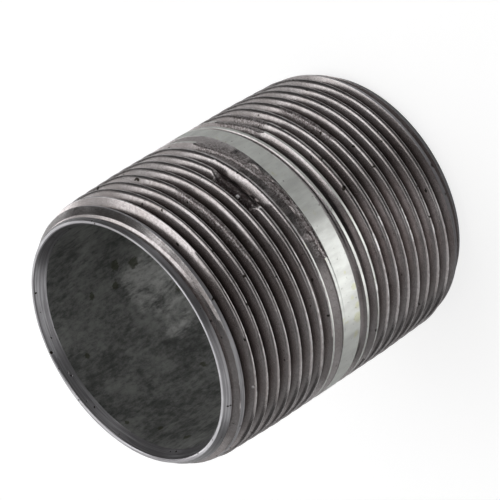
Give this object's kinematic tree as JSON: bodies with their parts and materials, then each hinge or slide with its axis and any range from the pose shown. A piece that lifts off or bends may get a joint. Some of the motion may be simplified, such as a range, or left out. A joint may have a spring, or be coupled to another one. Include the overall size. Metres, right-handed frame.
{
  "type": "pipe nipple",
  "caption": "Short steel pipe nipple: open through bore, right-hand taper thread on each end, narrow plain galvanised band between the threads.",
  "frame": {"origin": "centre of the bottom end face, on the pipe axis", "axes": "+Z along the pipe axis, from the bottom end to the top end; the two ends are the same thread"},
  "size_m": [0.0422, 0.0422, 0.0496],
  "materials": {
    "galvanised_steel": "cut steel threads, dull galvanised band and bore"
  },
  "bodies": {
    "root": {"pipe_nipple": "galvanised_steel"}
  },
  "joints": []
}
